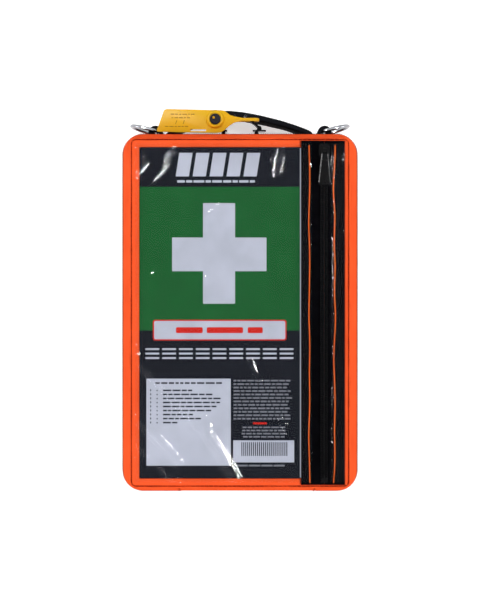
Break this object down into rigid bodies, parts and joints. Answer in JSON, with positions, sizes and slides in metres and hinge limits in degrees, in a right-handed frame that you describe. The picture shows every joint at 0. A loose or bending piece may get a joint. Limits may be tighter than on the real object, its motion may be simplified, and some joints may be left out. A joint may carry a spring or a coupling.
{
  "type": "bleed control kit pouch with tourniquet",
  "caption": "Soft zip pouch with clear front card pocket, carrying handle, rings and pull-tight seal, holding a strap-and-windlass tourniquet, dressings, ampoules, shears and marker.",
  "frame": {"origin": "on the surface the pouch lies on, under the middle of the pouch's seams", "axes": "+Z out of the pouch's front, +Y towards its top edge with handle and rings, +X to the right seen from the front"},
  "size_m": [0.1588, 0.2594, 0.068],
  "materials": {
    "orange_fabric": "padded woven nylon, satin",
    "orange_binding": "stitched binding tape",
    "black_webbing": "ribbed nylon webbing",
    "black_zip_tape": "woven zip tape",
    "black_zip_coil": "moulded coil",
    "black_zip_metal": "black painted, edges worn bright",
    "clear_vinyl": "clear flexible vinyl",
    "printed_card": "satin printed card",
    "chrome_wire": "polished",
    "yellow_plastic": "moulded",
    "dark_insert": "moulded",
    "pack_film": "vacuum pack film",
    "pale_film": "heat-sealed film",
    "blue_film": "heat-sealed film",
    "black_strap": "woven strap",
    "black_plastic": "moulded",
    "white_strap": "writing strap",
    "clear_ampoule": "moulded",
    "blue_plastic": "moulded",
    "marker_plastic": "moulded",
    "blade_steel": "ground",
    "shears_plastic": "moulded"
  },
  "bodies": {
    "case": {"back_panel": "orange_fabric", "back_binding": "orange_binding", "rear_gusset": "orange_fabric", "hinge_panel_rear": "orange_fabric", "main_zip_tape_rear": "black_zip_tape", "main_zip_coil_rear": "black_zip_coil", "d_ring_loop_left": "black_webbing", "d_ring_loop_right": "black_webbing", "handle_tabs": "black_webbing", "bandage_pack": "pack_film", "dressing_pack": "pale_film", "gauze_pack": "pack_film", "glove_packs": "blue_film", "spare_seals": "yellow_plastic", "tourniquet_strap": "black_strap", "tourniquet_base_plate": "black_plastic", "tourniquet_ribbon": "black_strap", "tourniquet_keeper": "black_plastic", "tourniquet_time_strap": "white_strap", "tourniquet_buckle": "black_plastic", "ampoules": "clear_ampoule", "ampoule_caps": "blue_plastic", "marker_body": "marker_plastic", "shears_blade_fixed": "blade_steel", "shears_handle_fixed": "shears_plastic", "shears_screw": "blade_steel"},
    "cover": {"hinge_panel_front": "orange_fabric", "front_gusset": "orange_fabric", "front_panel": "orange_fabric", "front_binding": "orange_binding", "main_zip_tape_front": "black_zip_tape", "main_zip_coil_front": "black_zip_coil", "insert_card": "printed_card", "window_pane_left": "clear_vinyl", "window_pane_right": "clear_vinyl", "front_zip_tape_left": "black_zip_tape", "front_zip_tape_right": "black_zip_tape", "front_zip_coil_left": "black_zip_coil", "front_zip_coil_right": "black_zip_coil", "front_zip_stops": "black_zip_metal"},
    "front_slider": {"front_zip_slider": "black_zip_metal"},
    "front_pull": {"front_zip_pull": "black_zip_metal"},
    "main_slider_left": {"main_zip_slider_left": "black_zip_metal"},
    "main_pull_left": {"main_zip_pull_left": "black_zip_metal"},
    "main_slider_right": {"main_zip_slider_right": "black_zip_metal"},
    "main_pull_right": {"main_zip_pull_right": "black_zip_metal"},
    "security_seal": {"seal_tag": "yellow_plastic", "seal_lock_insert": "dark_insert", "seal_tail": "yellow_plastic"},
    "ring_left": {"d_ring_left": "chrome_wire"},
    "ring_right": {"d_ring_right": "chrome_wire"},
    "handle": {"carry_handle": "black_webbing"},
    "windlass": {"tourniquet_windlass": "black_plastic", "tourniquet_ribbon_loop": "black_strap"},
    "marker_lid": {"marker_cap": "marker_plastic"},
    "shears_half": {"shears_blade_moving": "blade_steel", "shears_handle_moving": "shears_plastic"}
  },
  "joints": [
    {"name": "cover_open", "type": "hinge", "parent": "case", "child": "cover", "pos_m": [0, -0.1217, 0.03], "axis": [1, 0, 0], "range_deg": [0, 170]},
    {"name": "front_slider_run", "type": "slide", "parent": "cover", "child": "front_slider", "axis": [0, -1, 0], "range_m": [0, 0.205]},
    {"name": "front_pull_flip", "type": "hinge", "parent": "front_slider", "child": "front_pull", "pos_m": [0.0546, 0.105, 0.0665], "axis": [-1, 0, 0], "range_deg": [0, 165]},
    {"name": "main_slider_left_run", "type": "slide", "parent": "case", "child": "main_slider_left", "axis": [-1, 0, 0], "range_m": [0, 0.036]},
    {"name": "main_pull_left_flip", "type": "hinge", "parent": "main_slider_left", "child": "main_pull_left", "pos_m": [-0.013, 0.1242, 0.03], "axis": [0, 0, 1], "range_deg": [-20, 130], "deforming": ["seal_tail"]},
    {"name": "main_slider_right_run", "type": "slide", "parent": "case", "child": "main_slider_right", "axis": [1, 0, 0], "range_m": [0, 0.036], "deforming": ["seal_tail"]},
    {"name": "main_pull_right_flip", "type": "hinge", "parent": "main_slider_right", "child": "main_pull_right", "pos_m": [0.013, 0.1242, 0.03], "axis": [0, 0, -1], "range_deg": [-20, 130], "deforming": ["seal_tail"]},
    {"name": "seal_flap", "type": "hinge", "parent": "main_slider_left", "child": "security_seal", "pos_m": [0.001, 0.12934, 0.0348], "axis": [0, 1, 0], "range_deg": [0, 80], "deforming": ["seal_tail"]},
    {"name": "ring_left_swing", "type": "hinge", "parent": "case", "child": "ring_left", "pos_m": [-0.0575, 0.12305, 0.01385], "axis": [0, 0, -1], "range_deg": [-20, 100]},
    {"name": "ring_right_swing", "type": "hinge", "parent": "case", "child": "ring_right", "pos_m": [0.0575, 0.12305, 0.01385], "axis": [0, 0, 1], "range_deg": [-20, 100]},
    {"name": "handle_swing", "type": "hinge", "parent": "case", "child": "handle", "pos_m": [0, 0.1221, 0.01385], "axis": [-1, 0, 0], "range_deg": [-3, 14]},
    {"name": "windlass_turn", "type": "hinge", "parent": "case", "child": "windlass", "pos_m": [-0.01086, 0, 0.0453], "axis": [0, 0, -1], "range_deg": [0, 160]},
    {"name": "marker_cap_pull", "type": "slide", "parent": "case", "child": "marker_lid", "axis": [0, 1, 0], "range_m": [0, 0.036]},
    {"name": "shears_open", "type": "hinge", "parent": "case", "child": "shears_half", "pos_m": [-0.008, 0.002, 0.0536], "axis": [0, 0, 1], "range_deg": [0, 40]}
  ]
}
